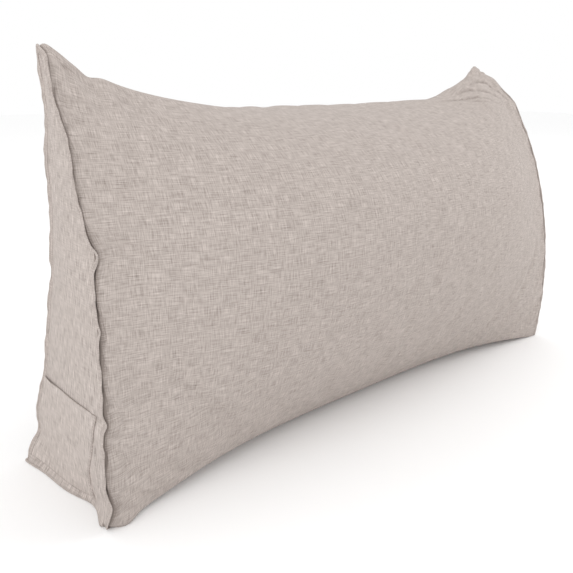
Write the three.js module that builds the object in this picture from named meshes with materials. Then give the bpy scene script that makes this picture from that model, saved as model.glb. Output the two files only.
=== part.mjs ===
import * as THREE from 'three';
import { mergeVertices } from 'three/addons/utils/BufferGeometryUtils.js';

// A wedge pillow that stands on its base: a stuffed wrap (sloping front, rounded crown, back and
// base) closed by two triangular end panels, a topstitched flange round each end panel, and a
// patch pocket on the left one. Millimetres: X along the pillow, the front faces -Y, Z is up.

// Triangular end panels
const HALF_LENGTH = 434; // middle of the pillow to the seam at an ear
const BASE_DEPTH = 200;
const EAR_HEIGHT = 497;
const EAR_SETBACK = 95; // ear to the rear foot, front to back

// Cross section at the middle, where the filling rounds it most: the flat contact runs from toe to
// heel, and each handle is how far the curve keeps its direction on leaving or reaching a point
const TOE_Y = -35;
const HEEL_Y = 60;
const BELLY = { y: -184, z: 272 };
const CROWN = { y: 32, z: 431 };
const BACK = { y: 130, z: 210 };
const HANDLES = {
  toe: 45, bellyLow: 111, bellyHigh: 105, crownFront: 106, crownRear: 55, backHigh: 125,
  backLow: 130, heel: 45,
};

// How the middle section fades into the end triangles
const FADE_POWER = 3.1;
const FADE_SOFTNESS = 1.57;
const DRAW_POWER = 5.5; // how close to the ends the seams draw in
const DRAW_FLATNESS = 2.2;
const FRONT_DRAW_LOW = 1.75; // sets the deepest draw below half height on the front seam
const CROWN_DIP_POWER = 7; // the crown dips or swells beside the ears
const CROWN_DIP_REACH = 90;
const PANEL_DOME = 8; // how far the filling pushes an end panel out
const DOME_PEAK = 27; // brings the dome's t(1 - t)(1 - t)w(1 - w) to 1 where it is highest
const NUDGE_FADE_ACROSS = 5; // how fast the seams' local pushes fade into an end panel
const NUDGE_FADE_UP = 12;

// Per end: bow of the sloping seams, draw of the seams towards the middle, crown dip beside the
// ear, how the ear itself leans, and the flange's turn: 0 runs on from the wrap, 1 from the panel
const ENDS = [
  {
    name: 'left', side: -1, frontBow: 32, rearBow: 6.5, frontDraw: 10, rearDraw: 26, baseDraw: 6.5,
    crownDip: 10, earLean: new THREE.Vector3(4, -1, 8), earReach: 70, flangeTurn: 0.78,
  },
  {
    name: 'right', side: 1, frontBow: 52, rearBow: 6.5, frontDraw: 0, rearDraw: 26, baseDraw: 6.5,
    crownDip: -11, earLean: new THREE.Vector3(-14, 22, -3), earReach: 80, flangeTurn: 0.2,
  },
];

// Seam flange: the seam allowances turned out and topstitched
const GAP = 0.7; // clear of the cover
const FLANGE_WIDTH = 5;
const FLANGE_THICKNESS = 2;
const FLANGE_EAR_INSET = 1.2; // inner radius of the flange round an ear
const FLANGE_FOOT_INSET = 2; // the same along the base and at the feet
const FLANGE_FOOT_ROWS = 3; // rows of facets above a foot over which that inset narrows
const FLANGE_FOOT_TURN = 0.8; // how far the base flange turns outwards at the feet
const FLANGE_FLOOR = 0.15; // lowest point of the base flange
const FLANGE_WRAP_IN = 6; // how far in on the wrap the flange takes its direction from
const FLANGE_PANEL_IN_UP = 0.02; // the same on the panel, as shares of its height and width
const FLANGE_PANEL_IN_ACROSS = 0.06;

// Local pushes of the wrap and its seams. Along is counted from the pillow's middle and round is the
// distance round the girth from the base's middle, up the front; each fades over its two reaches
const NUDGES = [
  // left front seam: the ear, the slack under it, and the kinks of its gathers from the top down
  { along: -434, round: 563, reachAlong: 30, reachRound: 26, x: -3.4, y: 3, z: 0 },
  { along: -434, round: 460, reachAlong: 30, reachRound: 24, x: -1.8, y: 1.6, z: 0 },
  { along: -434, round: 385, reachAlong: 30, reachRound: 42, x: 1.8, y: -1.6, z: 0 },
  { along: -434, round: 394, reachAlong: 13, reachRound: 10, x: 5.4, y: -4.8, z: 0 },
  { along: -434, round: 127, reachAlong: 14, reachRound: 13, x: 4.4, y: -3.9, z: 0 },
  // left front foot: its corner drawn in, and the rounded lobe beside it
  { along: -434, round: 100, reachAlong: 12, reachRound: 11, x: 4, y: 8, z: 0 },
  { along: -408, round: 100, reachAlong: 13, reachRound: 22, x: 0, y: -4.5, z: 0 },
  // left base seam: drawn in near the front, let out at the rear foot
  { along: -434, round: 58, reachAlong: 30, reachRound: 30, x: 9, y: 0, z: 0 },
  { along: -434, round: -45, reachAlong: 30, reachRound: 45, x: -3.5, y: 0, z: 0 },
  { along: -434, round: -92, reachAlong: 24, reachRound: 26, x: -5, y: -4, z: 0 },
  // left rear seam: the kink over the foot, the slack higher up and the ear
  { along: -434, round: -136, reachAlong: 16, reachRound: 15, x: 8, y: 0, z: 0 },
  { along: -434, round: -345, reachAlong: 20, reachRound: 16, x: 2.4, y: 0, z: 0 },
  { along: -434, round: -483, reachAlong: 30, reachRound: 32, x: -3.2, y: 0, z: 0 },
  { along: -434, round: 632, reachAlong: 14, reachRound: 18, x: -2.5, y: 0, z: 0 },
  // left ear: stuffed to a round nose that ends in a nip across the crown
  { along: -434, round: 608, reachAlong: 8, reachRound: 12, x: -0.5, y: 0, z: -3 },
  { along: -416, round: 608, reachAlong: 15, reachRound: 34, x: 0, y: 0, z: 5.5 },
  { along: -384, round: 606, reachAlong: 10, reachRound: 26, x: 0, y: 0, z: -5 },
  // right ear: its tip pulled down and back, a full shoulder under it, and the crown beside it
  { along: 434, round: 608, reachAlong: 34, reachRound: 26, x: -7.5, y: 6, z: -12 },
  { along: 434, round: 578, reachAlong: 24, reachRound: 16, x: 2.5, y: -2, z: 4.5 },
  { along: 434, round: 538, reachAlong: 34, reachRound: 30, x: 4, y: -3.5, z: 5.5 },
  { along: 300, round: 625, reachAlong: 24, reachRound: 40, x: 0, y: 0, z: 4.5 },
  { along: 236, round: 635, reachAlong: 34, reachRound: 40, x: 0, y: 0, z: -3.5 },
];

// Patch pocket on the left end panel. Each row is a level on the panel (share of its height) with
// the pocket's front edge (share of the panel's width, from its front seam)
const POCKET_OFFSET = 0.9;
const POCKET_THICKNESS = 1.5;
const POCKET_MOUTH_GAP = 2; // how far the mouth stands off the panel
const POCKET_MOUTH_REACH = 4; // how sharply that gap closes down the pocket
const POCKET_RISE = 0.022; // how much higher the mouth is at the front, as a level
const POCKET_REAR = 0.985;
const POCKET_COLUMNS = 12;
const POCKET_EDGE = [
  { level: 0.016, front: 0.245 },
  { level: 0.05, front: 0.275 },
  { level: 0.09, front: 0.245 },
  { level: 0.135, front: 0.19 },
  { level: 0.18, front: 0.135 },
  { level: 0.225, front: 0.09 },
];

// Facets along, up and across the body, and half the crown strip's width at the ends and middle
const ALONG = 38;
const UP = 42;
const ACROSS = 12;
const CROWN_STRIP_END = 12;
const CROWN_STRIP_MIDDLE = 45;
const END_CROWDING = 1.6; // packs the facets towards the ends

const linen = (color, roughness) => new THREE.MeshStandardMaterial({ color, roughness, metalness: 0 });
const COVER = linen('#bdb2ab', 0.95);
const FLANGE = linen('#c4bab3', 0.95);
const POCKET = linen('#c6bcb6', 0.95);

// Closed loops of (y, z), from the middle of the base to the foot, up the front and down the back
const FOOT = new THREE.Vector2(-BASE_DEPTH / 2, 0);
const REAR_FOOT = new THREE.Vector2(BASE_DEPTH / 2, 0);
const EAR = new THREE.Vector2(BASE_DEPTH / 2 - EAR_SETBACK, EAR_HEIGHT);
const SIDE = {
  base: BASE_DEPTH / 2,
  front: FOOT.distanceTo(EAR),
  rear: REAR_FOOT.distanceTo(EAR),
};
const GIRTH = 2 * SIDE.base + SIDE.front + SIDE.rear;

function bowedSide(from, to, bow) {
  const chord = to.clone().sub(from);
  const outward = new THREE.Vector2(-chord.y, chord.x).normalize();
  const control = from.clone().lerp(to, 0.5).addScaledVector(outward, 2 * bow);
  return new THREE.QuadraticBezierCurve(from, control, to);
}

function loopOf(curves) {
  const loop = new THREE.CurvePath();
  curves.forEach((curve) => loop.add(curve));
  return loop;
}

function middleLoop() {
  const at = (y, z) => new THREE.Vector2(y, z);
  const toe = at(TOE_Y, 0);
  const heel = at(HEEL_Y, 0);
  const start = toe.clone().lerp(heel, 0.5);
  const belly = at(BELLY.y, BELLY.z);
  const crown = at(CROWN.y, CROWN.z);
  const back = at(BACK.y, BACK.z);
  return loopOf([
    new THREE.LineCurve(start, toe),
    new THREE.CubicBezierCurve(
      toe, at(TOE_Y - HANDLES.toe, 0), at(BELLY.y, BELLY.z - HANDLES.bellyLow), belly,
    ),
    new THREE.CubicBezierCurve(
      belly, at(BELLY.y, BELLY.z + HANDLES.bellyHigh), at(CROWN.y - HANDLES.crownFront, CROWN.z), crown,
    ),
    new THREE.CubicBezierCurve(
      crown, at(CROWN.y + HANDLES.crownRear, CROWN.z), at(BACK.y, BACK.z + HANDLES.backHigh), back,
    ),
    new THREE.CubicBezierCurve(
      back, at(BACK.y, BACK.z - HANDLES.backLow), at(HEEL_Y + HANDLES.heel, 0), heel,
    ),
    new THREE.LineCurve(heel, start),
  ]);
}

function endLoop(end) {
  const start = new THREE.Vector2(0, 0);
  return loopOf([
    new THREE.LineCurve(start, FOOT),
    bowedSide(FOOT, EAR, end.frontBow),
    bowedSide(EAR, REAR_FOOT, end.rearBow),
    new THREE.LineCurve(REAR_FOOT, start),
  ]);
}

const MIDDLE_LOOP = middleLoop();
ENDS.forEach((end) => {
  end.loop = endLoop(end);
});

// How much of a seam's draw applies at a share along it: none at its ends, all in its middle
function drawShape(share) {
  return 1 - Math.abs(2 * share - 1) ** DRAW_FLATNESS;
}

// Draw towards the middle at a distance round the girth, counted from the base's middle
function drawAt(end, girth) {
  if (girth < SIDE.base) {
    return end.baseDraw * drawShape(0.5 + girth / (2 * SIDE.base));
  }
  if (girth < SIDE.base + SIDE.front) {
    return end.frontDraw * drawShape(((girth - SIDE.base) / SIDE.front) ** FRONT_DRAW_LOW);
  }
  if (girth < GIRTH - SIDE.base) {
    return end.rearDraw * drawShape((girth - SIDE.base - SIDE.front) / SIDE.rear);
  }
  return end.baseDraw * drawShape((girth - GIRTH + SIDE.base) / (2 * SIDE.base));
}

// A point of the wrap before its local pushes: station s runs -1..1, girth is the distance round
function smoothPoint(s, girth) {
  const end = s < 0 ? ENDS[0] : ENDS[1];
  const out = Math.abs(s);
  const share = (((girth % GIRTH) + GIRTH) % GIRTH) / GIRTH;
  const fade = (1 - out ** FADE_POWER) ** FADE_SOFTNESS;
  const section = end.loop.getPoint(share).lerp(MIDDLE_LOOP.getPoint(share), fade);
  const draw = drawAt(end, share * GIRTH) * out ** DRAW_POWER;
  const point = new THREE.Vector3(end.side * (out * HALF_LENGTH - draw), section.x, section.y);
  const fromRidge = Math.abs(share * GIRTH - SIDE.base - SIDE.front);
  const peak = CROWN_DIP_POWER / (CROWN_DIP_POWER + 1);
  const dip = (out ** CROWN_DIP_POWER * (1 - out)) / (peak ** CROWN_DIP_POWER * (1 - peak));
  point.z -= end.crownDip * dip * Math.exp(-((fromRidge / CROWN_DIP_REACH) ** 2));
  const fromEar = Math.hypot(HALF_LENGTH - Math.abs(point.x), fromRidge) / end.earReach;
  return point.addScaledVector(end.earLean, Math.exp(-(fromEar ** 2)));
}

// The sum of the local pushes there
function nudgeAt(s, girth) {
  return NUDGES.reduce((sum, nudge) => {
    const off = girth - nudge.round;
    const round = (off - Math.round(off / GIRTH) * GIRTH) / nudge.reachRound;
    const along = (s * HALF_LENGTH - nudge.along) / nudge.reachAlong;
    return sum.addScaledVector(nudge, Math.exp(-(along ** 2) - round ** 2));
  }, new THREE.Vector3());
}

function wrapPoint(s, girth) {
  return smoothPoint(s, girth).add(nudgeAt(s, girth));
}

function stripHalfWidth(s) {
  return THREE.MathUtils.lerp(CROWN_STRIP_MIDDLE, CROWN_STRIP_END, Math.abs(s) ** 2);
}

// Distance round the girth on the wrap's four faces: t runs up, w runs front to back
const WAY = {
  front: (s, t) => SIDE.base + t * (SIDE.front - stripHalfWidth(s)),
  rear: (s, t) => GIRTH - SIDE.base - t * (SIDE.rear - stripHalfWidth(s)),
  crown: (s, w) => SIDE.base + SIDE.front + (2 * w - 1) * stripHalfWidth(s),
  base: (s, w) => SIDE.base * (1 - 2 * w),
};

// Stretches what valueAt gives on an end's four seams over its panel. With a power of 1 each seam
// fades evenly to the far side, and higher powers keep it near the seam
function stretched(s, t, w, valueAt, powerAcross, powerUp) {
  const [front, rear] = [(1 - w) ** powerAcross, w ** powerAcross];
  const across = (up) => {
    const sum = valueAt(s, WAY.front(s, up)).multiplyScalar(front);
    return sum.addScaledVector(valueAt(s, WAY.rear(s, up)), rear);
  };
  const foot = valueAt(s, WAY.base(s, w)).sub(across(0));
  const ear = valueAt(s, WAY.crown(s, w)).sub(across(1));
  return across(t).addScaledVector(foot, (1 - t) ** powerUp).addScaledVector(ear, t ** powerUp);
}

// An end panel, stretched between its seams and domed by the filling
function panelPoint(end, t, w) {
  const point = stretched(end.side, t, w, smoothPoint, 1, 1);
  point.add(stretched(end.side, t, w, nudgeAt, NUDGE_FADE_ACROSS, NUDGE_FADE_UP));
  point.x += end.side * PANEL_DOME * DOME_PEAK * t * (1 - t) ** 2 * w * (1 - w);
  return point;
}

function bodyPoint(s, t, w) {
  if (Math.abs(s) === 1) {
    return panelPoint(s < 0 ? ENDS[0] : ENDS[1], t, w);
  }
  if (t === 0 || t === 1) {
    return wrapPoint(s, t === 0 ? WAY.base(s, w) : WAY.crown(s, w));
  }
  return wrapPoint(s, w === 0 ? WAY.front(s, t) : WAY.rear(s, t));
}

// Moves every vertex of a geometry and leaves only welded positions
function reshape(geometry, place) {
  const position = geometry.getAttribute('position');
  const from = new THREE.Vector3();
  for (let i = 0; i < position.count; i += 1) {
    from.fromBufferAttribute(position, i);
    const to = place(from, i);
    position.setXYZ(i, to.x, to.y, to.z);
  }
  geometry.deleteAttribute('normal');
  geometry.deleteAttribute('uv');
  return mergeVertices(geometry, 1e-3);
}

function bodyGeometry() {
  const box = new THREE.BoxGeometry(2, 1, 1, ALONG, ACROSS, UP);
  return reshape(box, (at) => {
    const even = Math.min(Math.abs(at.x), 1);
    const s = Math.sign(at.x) * (1 - (1 - even) ** END_CROWDING);
    return bodyPoint(s, Math.round((at.z + 0.5) * UP) / UP, Math.round((at.y + 0.5) * ACROSS) / ACROSS);
  });
}

// Seam stations round an end panel: the point, the way round, the panel's run-out over the seam,
// and the inset of the flange there
function seamStations(end) {
  const s = end.side;
  const { clamp, lerp } = THREE.MathUtils;
  const stations = [];
  const add = (face, share, t, w, inset) => {
    const way = WAY[face](s, share);
    const inT = clamp(t, FLANGE_PANEL_IN_UP, 1 - FLANGE_PANEL_IN_UP);
    const inW = clamp(w, FLANGE_PANEL_IN_ACROSS, 1 - FLANGE_PANEL_IN_ACROSS);
    const offPanel = smoothPoint(s, way).sub(stretched(s, inT, inW, smoothPoint, 1, 1));
    stations.push({ point: wrapPoint(s, way), way, offPanel, inset });
  };
  const insetUp = (i) => {
    const low = lerp(FLANGE_FOOT_INSET, GAP, Math.min(i / FLANGE_FOOT_ROWS, 1));
    return i === UP ? FLANGE_EAR_INSET : low;
  };
  for (let i = 0; i <= UP; i += 1) {
    add('front', i / UP, i / UP, 0, insetUp(i));
  }
  for (let i = 1; i < ACROSS; i += 1) {
    add('crown', i / ACROSS, 1, i / ACROSS, FLANGE_EAR_INSET);
  }
  for (let i = UP; i >= 0; i -= 1) {
    add('rear', i / UP, i / UP, 1, insetUp(i));
  }
  for (let i = ACROSS - 1; i > 0; i -= 1) {
    add('base', i / ACROSS, 0, i / ACROSS, FLANGE_FOOT_INSET);
  }
  return stations;
}

// The flange leaves the seam between the run-out of the panel and the run-out of the wrap
function flangeGeometry(end) {
  const stations = seamStations(end);
  const count = stations.length;
  const inside = end.side * (1 - FLANGE_WRAP_IN / HALF_LENGTH);
  stations.forEach((station, i) => {
    const before = stations[(i + count - 1) % count].point;
    const after = stations[(i + 1) % count].point;
    station.along = after.clone().sub(before).normalize();
    const offPanel = station.offPanel.clone();
    offPanel.addScaledVector(station.along, -offPanel.dot(station.along)).normalize();
    const offWrap = station.point.clone().sub(wrapPoint(inside, station.way)).normalize();
    station.outward = offWrap.lerp(offPanel, end.flangeTurn).normalize();
    station.normal = station.outward.clone().cross(station.along).normalize();
    station.onBase = station.point.z < 1;
    if (station.onBase) {
      const turn = FLANGE_FOOT_TURN * Math.abs(station.along.z) * Math.sign(station.point.y);
      station.outward.set(end.side, turn, 0).normalize();
      station.normal.set(0, 0, -end.side);
    }
  });
  const ring = new THREE.TorusGeometry(1, 0.3, 4, count);
  return reshape(ring, (_, index) => {
    const station = stations[(index % (count + 1)) % count];
    const corner = Math.floor(index / (count + 1)) % 4;
    const outer = corner === 0 || corner === 3;
    const face = corner < 2 ? 1 : -1;
    const to = station.point.clone();
    to.addScaledVector(station.outward, station.inset + (outer ? FLANGE_WIDTH : 0));
    to.addScaledVector(station.normal, (face * FLANGE_THICKNESS) / 2);
    if (station.onBase) {
      to.z += FLANGE_FLOOR + FLANGE_THICKNESS / 2;
    }
    to.z = Math.max(to.z, FLANGE_FLOOR);
    return to;
  });
}

// The pocket follows the left end panel, with its mouth standing off a little
function pocketGeometry(end) {
  const { lerp } = THREE.MathUtils;
  const rows = 2 * (POCKET_EDGE.length - 1);
  const sheet = new THREE.BoxGeometry(1, 1, 1, 1, POCKET_COLUMNS, rows);
  return reshape(sheet, (at) => {
    const [across, height] = [at.y + 0.5, at.z + 0.5];
    const row = Math.round(height * rows) / 2;
    const [low, high] = [POCKET_EDGE[Math.floor(row)], POCKET_EDGE[Math.ceil(row)]];
    const level = lerp(low.level, high.level, row % 1) + POCKET_RISE * height * (1 - across);
    const to = panelPoint(end, level, lerp(lerp(low.front, high.front, row % 1), POCKET_REAR, across));
    const gap = POCKET_MOUTH_GAP * height ** POCKET_MOUTH_REACH * Math.sin(across * Math.PI);
    const outer = at.x * end.side > 0 ? POCKET_THICKNESS : 0;
    to.x += end.side * (POCKET_OFFSET + outer + gap);
    return to;
  });
}

function named(name, geometry, material) {
  const mesh = new THREE.Mesh(geometry, material);
  mesh.name = name;
  return mesh;
}

const pillow = new THREE.Group();
pillow.add(named('wedge_body', bodyGeometry(), COVER));
ENDS.forEach((end) => {
  pillow.add(named(`flange_${end.name}`, flangeGeometry(end), FLANGE));
});
pillow.add(named('pocket_left', pocketGeometry(ENDS[0]), POCKET));

// The origin is under the middle of the pillow's box, on the surface that it stands on
const box = new THREE.Box3().setFromObject(pillow);
const middle = box.getCenter(new THREE.Vector3());
pillow.position.set(-middle.x, -middle.y, -box.min.z);

export default pillow;
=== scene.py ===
"""A stuffed wedge pillow in a heathered linen-look cloth, standing on its base.

The cover is one wrap (sloping front, rounded crown, back and base) closed by two triangular end
panels, with a topstitched flange round each end and a patch pocket on the left end. Sizes are in
metres; X runs along the pillow, the sloping front faces -Y and Z is up.
"""

import logging
import math
from collections.abc import Callable
from dataclasses import dataclass, replace
from enum import Enum
from functools import cached_property, partial, reduce

import bmesh
import bpy
import numpy as np
from mathutils import Matrix, Vector


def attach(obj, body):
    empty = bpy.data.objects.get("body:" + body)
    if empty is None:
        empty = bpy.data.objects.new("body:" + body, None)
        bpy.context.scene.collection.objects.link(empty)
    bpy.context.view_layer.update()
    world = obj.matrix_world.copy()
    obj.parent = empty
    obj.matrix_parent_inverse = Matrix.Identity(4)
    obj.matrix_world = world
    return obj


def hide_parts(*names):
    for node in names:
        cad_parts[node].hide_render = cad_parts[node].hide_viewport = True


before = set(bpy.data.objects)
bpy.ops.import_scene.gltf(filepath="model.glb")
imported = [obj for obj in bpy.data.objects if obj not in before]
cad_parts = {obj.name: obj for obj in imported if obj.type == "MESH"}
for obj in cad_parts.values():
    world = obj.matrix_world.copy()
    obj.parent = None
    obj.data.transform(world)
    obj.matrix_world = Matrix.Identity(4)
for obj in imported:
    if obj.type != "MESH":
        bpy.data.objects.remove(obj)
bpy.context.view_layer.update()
LOG = logging.getLogger("wedge_pillow")

MM_PER_M = 1000
PHOTO_SIDE_PX = 573
CURVE_SAMPLES = 160
STITCH_HALF_SIZE = (0.0013, 0.00030, 0.00028)
PATTERN_UV = "pattern"
# the cover's fold depth, which the linen reads to paint shade in the folds and highlight on their ridges
FOLD = "fold"
# how far along the pattern each end panel lies, by its side; the wrap takes up the part below 1
PANEL_PATTERN = {-1: 2.0, 1: 3.0}


class Face(Enum):
    """The faces of the stuffed cover, as numbered on its mesh."""

    FRONT = 0
    CROWN = 1
    BACK = 2
    BASE = 3
    PANEL = 4


# Form

Pair = tuple[float, float]
Triple = tuple[float, float, float]
Knot = tuple[Pair, Pair, Pair]
Loop = tuple[np.ndarray, np.ndarray]


def bell(off: np.ndarray) -> np.ndarray:
    """One where off is 0, fading out both ways in a bell curve that has reached 1/e at 1."""
    return np.exp(-(off**2))


@dataclass(frozen=True)
class EndShape:
    """How one end of the pillow is sewn, how its ear leans and how its flange turns.

    Side is -1 for the left end and 1 for the right one. The flange's turn, at the front and at the
    rest, is 0 where it runs on from the wrap and 1 where it runs on from the end panel.
    """

    name: str
    side: int
    ear_rounding: int
    front_bow: float
    front_draw: float
    crown_dip: float
    ear_lean: Triple
    ear_reach: float
    flange_turn: Pair
    rear_bow: float = 0.0065
    rear_draw: float = 0.026
    base_draw: float = 0.0065


@dataclass(frozen=True)
class Nudge:
    """A local push on the wrap: where it is on the cloth, how far it reaches and the shift.

    Along is measured from the pillow's middle, and round is the distance round the girth from the
    middle of the base, up the front; all are in millimetres.
    """

    along: float
    round: float
    reach_along: float
    reach_round: float
    shift: Triple


NUDGES = (
    # left front seam: the ear, the slack under it, and the kinks of its gathers from the top down
    Nudge(-434, 563, 30, 26, (-3.4, 3.0, 0.0)),
    Nudge(-434, 460, 30, 24, (-1.8, 1.6, 0.0)),
    Nudge(-434, 385, 30, 42, (1.8, -1.6, 0.0)),
    Nudge(-434, 394, 13, 10, (5.4, -4.8, 0.0)),
    Nudge(-434, 316, 12, 6, (2.4, -2.1, 0.0)),
    Nudge(-434, 221, 12, 6, (2.4, -2.1, 0.0)),
    Nudge(-434, 199, 16, 11, (-1.3, 1.1, 0.0)),
    Nudge(-434, 127, 14, 13, (4.4, -3.9, 0.0)),
    # left front foot: its corner drawn in, and the rounded lobe beside it
    Nudge(-434, 100, 12, 11, (4.0, 8.0, 0.0)),
    Nudge(-408, 100, 13, 22, (0.0, -4.5, 0.0)),
    # left base seam: drawn in near the front, let out at the rear foot
    Nudge(-434, 50, 30, 34, (12.5, 0.0, 0.0)),
    Nudge(-434, -45, 30, 45, (-1.0, 0.0, 0.0)),
    Nudge(-434, -92, 24, 26, (-2.0, -6.5, 0.0)),
    # left rear seam: the kink over the foot, the slack higher up and the ear
    Nudge(-434, -136, 16, 15, (8.0, 0.0, 0.0)),
    Nudge(-434, -222, 24, 26, (2.2, 0.0, 0.0)),
    Nudge(-434, -345, 20, 16, (2.4, 0.0, 0.0)),
    Nudge(-434, -483, 30, 32, (-3.2, 0.0, 0.0)),
    Nudge(-434, 630, 16, 20, (-2.5, 3.2, 0.0)),
    # left ear: stuffed to a round nose that ends in a nip across the crown
    Nudge(-434, 609, 8, 12, (-1.5, 0.6, -6.5)),
    Nudge(-428, 606, 6, 20, (0.0, 0.0, 6.5)),
    Nudge(-422, 604, 14, 34, (0.0, 0.0, 5.8)),
    Nudge(-384, 606, 10, 26, (0.0, 0.0, -5.0)),
    # right ear: its tip pulled down and back, a full shoulder under it, the ridge behind it rounded
    # on both sides, and the crown beside it
    Nudge(434, 608, 34, 26, (-7.5, 6.0, -12.0)),
    Nudge(434, 584, 26, 17, (2.0, -2.0, 8.0)),
    Nudge(420, 610, 26, 22, (0.0, 0.0, 5.5)),
    Nudge(388, 628, 26, 15, (-2.5, 3.0, 0.0)),
    Nudge(398, 590, 22, 12, (3.0, -3.0, 2.0)),
    Nudge(392, 609, 14, 12, (0.0, 0.0, -2.5)),
    Nudge(356, 616, 20, 26, (0.0, 0.0, 5.0)),
    Nudge(434, 600, 14, 8, (0.0, 0.0, 1.5)),
    Nudge(434, 538, 34, 30, (4.0, -3.5, 5.5)),
    Nudge(300, 625, 24, 40, (0.0, 0.0, 4.5)),
    Nudge(236, 635, 34, 40, (0.0, 0.0, -3.5)),
)

LEFT_END = EndShape(
    name="left",
    side=-1,
    ear_rounding=2,
    front_bow=0.032,
    front_draw=0.010,
    crown_dip=0.010,
    ear_lean=(0.004, -0.001, 0.008),
    ear_reach=0.07,
    flange_turn=(0.92, 0.82),
)
RIGHT_END = EndShape(
    name="right",
    side=1,
    ear_rounding=20,
    front_bow=0.052,
    front_draw=0.0,
    crown_dip=-0.011,
    ear_lean=(-0.014, 0.022, -0.003),
    ear_reach=0.08,
    flange_turn=(-0.6, 0.2),
)


@dataclass(frozen=True)
class PillowForm:
    """The rounded form that the filling gives the cover, as a map from cloth to space."""

    half_length: float = 0.434
    base_depth: float = 0.2
    ear_height: float = 0.497
    ear_setback: float = 0.095
    # the middle's section: each knot as (y, z), with its handles towards the last and the next one
    toe: Knot = ((-0.035, 0.0), (0.0, 0.0), (-0.045, 0.0))
    belly: Knot = ((-0.184, 0.272), (0.0, -0.111), (0.0, 0.105))
    crown: Knot = ((0.032, 0.431), (-0.106, 0.0), (0.055, 0.0))
    back: Knot = ((0.130, 0.210), (0.0, 0.125), (0.0, -0.130))
    heel: Knot = ((0.060, 0.0), (0.045, 0.0), (0.0, 0.0))
    fade_power: float = 3.1
    fade_softness: float = 1.57
    draw_power: float = 5.5
    draw_flatness: float = 2.2
    front_draw_low: float = 1.75
    crown_dip_power: float = 7.0
    crown_dip_reach: float = 0.09
    rounded_from: float = 0.85
    panel_dome: float = 0.008
    dome_peak: float = 27.0
    strip_end: float = 0.012
    strip_middle: float = 0.045
    nudge_fade_across: float = 5.0
    nudge_fade_up: float = 12.0
    inset_up: float = 0.02
    inset_across: float = 0.06
    place: Triple = (0.0022989, 0.0269638, 0.0)

    @property
    def base_half(self) -> float:
        """Half the base's depth, which is where the front begins round the girth."""
        return self.base_depth / 2

    @property
    def ear(self) -> Pair:
        """The ear of an end triangle, before it leans."""
        return (self.base_half - self.ear_setback, self.ear_height)

    @property
    def front_length(self) -> float:
        """Length of the straight front side of an end triangle."""
        return math.hypot(self.ear[0] + self.base_half, self.ear_height)

    @property
    def rear_length(self) -> float:
        """Length of the straight rear side of an end triangle."""
        return math.hypot(self.ear_setback, self.ear_height)

    @property
    def girth(self) -> float:
        """The way once round an end triangle."""
        return self.base_depth + self.front_length + self.rear_length

    @staticmethod
    def _curve(*points: Pair | np.ndarray) -> np.ndarray:
        """Samples a Bezier curve of two, three or four points.

        Args:
            points: Its control points as (y, z).

        Returns:
            Sampled points, one a row, with the last one left out.
        """
        u = np.linspace(0.0, 1.0, CURVE_SAMPLES, endpoint=False)[:, None]
        n = len(points) - 1
        total = np.zeros((len(u), 2))
        for k, point in enumerate(points):
            total += math.comb(n, k) * u**k * (1 - u) ** (n - k) * np.array(point)
        return total

    @staticmethod
    def _measured(parts: list[np.ndarray]) -> Loop:
        """Joins sampled curves to a closed loop.

        Args:
            parts: The loop's curves in order.

        Returns:
            The loop's points and the share of its length at each.
        """
        points = np.vstack([*parts, parts[0][:1]])
        steps = np.linalg.norm(np.diff(points, axis=0), axis=1)
        lengths = np.concatenate([[0.0], np.cumsum(steps)])
        return points, lengths / lengths[-1]

    @cached_property
    def middle_loop(self) -> Loop:
        """The full cross section at the pillow's middle.

        Returns:
            Its points as (y, z) and the share of its length at each.
        """
        knots = [np.array(k) for k in (self.toe, self.belly, self.crown, self.back, self.heel)]
        toe, heel = knots[0][0], knots[-1][0]
        start = (toe + heel) / 2
        arcs = [self._curve(a[0], a[0] + a[2], b[0] + b[1], b[0]) for a, b in zip(knots, knots[1:])]
        return self._measured([self._curve(start, toe), *arcs, self._curve(heel, start)])

    @cached_property
    def end_loops(self) -> dict[int, Loop]:
        """The bowed triangle at each end.

        Returns:
            By the end's side, its points as (y, z) and the share of its length at each.
        """
        foot, rear_foot, start = (-self.base_half, 0.0), (self.base_half, 0.0), (0.0, 0.0)

        def bowed(a: Pair, b: Pair, bow: float) -> np.ndarray:
            """Samples a side of a triangle.

            Args:
                a: Where it starts.
                b: Where it stops.
                bow: How far it bows outwards at its middle.

            Returns:
                Sampled points, one a row.
            """
            chord = np.subtract(b, a)
            outward = np.array([-chord[1], chord[0]]) / np.hypot(*chord)
            return self._curve(a, tuple(np.add(a, b) / 2 + 2 * bow * outward), b)

        loops = {}
        for end in (LEFT_END, RIGHT_END):
            parts = [
                self._curve(start, foot),
                bowed(foot, self.ear, end.front_bow),
                bowed(self.ear, rear_foot, end.rear_bow),
                self._curve(rear_foot, start),
            ]
            sides = np.vstack(parts[1:3])
            for _ in range(end.ear_rounding):
                even = (sides[:-2] + 2 * sides[1:-1] + sides[2:]) / 4
                near_tip = sides[1:-1, 1:] > self.ear_height * self.rounded_from
                sides[1:-1] = np.where(near_tip, even, sides[1:-1])
            loops[end.side] = self._measured([parts[0], sides, parts[3]])
        return loops

    def tip_way(self, side: int) -> float:
        """Distance round the girth of the tip of an end's ear."""
        points, shares = self.end_loops[side]
        return float(shares[np.argmax(points[:, 1])]) * self.girth

    @staticmethod
    def _at(loop: Loop, share: np.ndarray) -> np.ndarray:
        """Points of a measured loop at shares of its length."""
        points, shares = loop
        return np.stack([np.interp(share, shares, points[:, k]) for k in (0, 1)], axis=-1)

    def _draw(self, end: EndShape, way: np.ndarray) -> np.ndarray:
        """How far the seams of an end draw towards the middle.

        Args:
            end: The end.
            way: Distances round the girth from the middle of the base.

        Returns:
            The draw at each.
        """
        base, front = self.base_half, self.front_length

        def shape(share: np.ndarray) -> np.ndarray:
            """None at a seam's ends, all of it in the middle."""
            return 1 - np.abs(2 * share - 1) ** self.draw_flatness

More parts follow.
